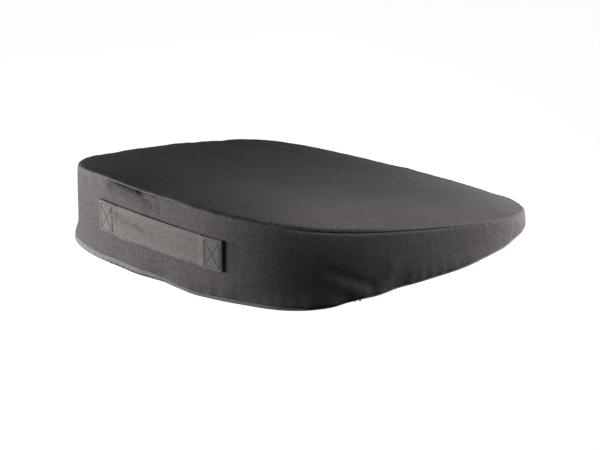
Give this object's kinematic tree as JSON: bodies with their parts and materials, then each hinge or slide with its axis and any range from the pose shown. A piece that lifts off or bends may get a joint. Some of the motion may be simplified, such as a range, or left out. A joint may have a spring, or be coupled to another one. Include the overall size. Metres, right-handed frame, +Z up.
{
  "type": "wedge seat cushion",
  "caption": "Wedge seat cushion with a rounded-square outline: foam core in a sewn fabric cover with a zip across the base and a webbing carry handle on the thick back wall.",
  "frame": {"origin": "on the ground under the middle of the cushion's box", "axes": "+Z up, +Y from the thick back wall with the handle to the thin front edge, +X to the right seen from behind the handle"},
  "size_m": [0.4216, 0.4102, 0.0904],
  "materials": {
    "foam": "matte",
    "cover_fabric": "matte",
    "base_fabric": "matte",
    "thread": "matte",
    "zip_tape": "matte",
    "zip_plastic": "satin",
    "zip_metal": "satin",
    "webbing": "matte"
  },
  "bodies": {
    "cushion": {"foam_core": "foam", "top_panel": "cover_fabric", "side_band": "cover_fabric", "base_front": "base_fabric", "base_rear": "base_fabric", "upper_seam_thread": "thread", "lower_seam_thread": "thread", "zip_tape_front": "zip_tape", "zip_tape_rear": "zip_tape", "zip_teeth_front": "zip_plastic", "zip_teeth_rear": "zip_plastic", "zip_stops": "zip_plastic", "zip_thread": "thread", "handle_flex_left": "webbing", "handle_flex_right": "webbing", "handle_end_left": "webbing", "handle_end_right": "webbing", "handle_thread_left": "thread", "handle_thread_right": "thread"},
    "slider": {"zip_slider": "zip_metal"},
    "pull": {"zip_pull": "zip_metal"},
    "handle": {"handle_grip": "webbing"}
  },
  "joints": [
    {"name": "zip_travel", "type": "slide", "parent": "cushion", "child": "slider", "axis": [-1, 0, 0], "range_m": [0, 0.239]},
    {"name": "pull_swing", "type": "hinge", "parent": "slider", "child": "pull", "pos_m": [0.1195, -0.14651, 0.0024], "axis": [0, -1, 0], "range_deg": [0, 180]},
    {"name": "handle_lift", "type": "slide", "parent": "cushion", "child": "handle", "axis": [0, -1, 0], "range_m": [0, 0.014], "deforming": ["handle_flex_left", "handle_flex_right"]}
  ]
}
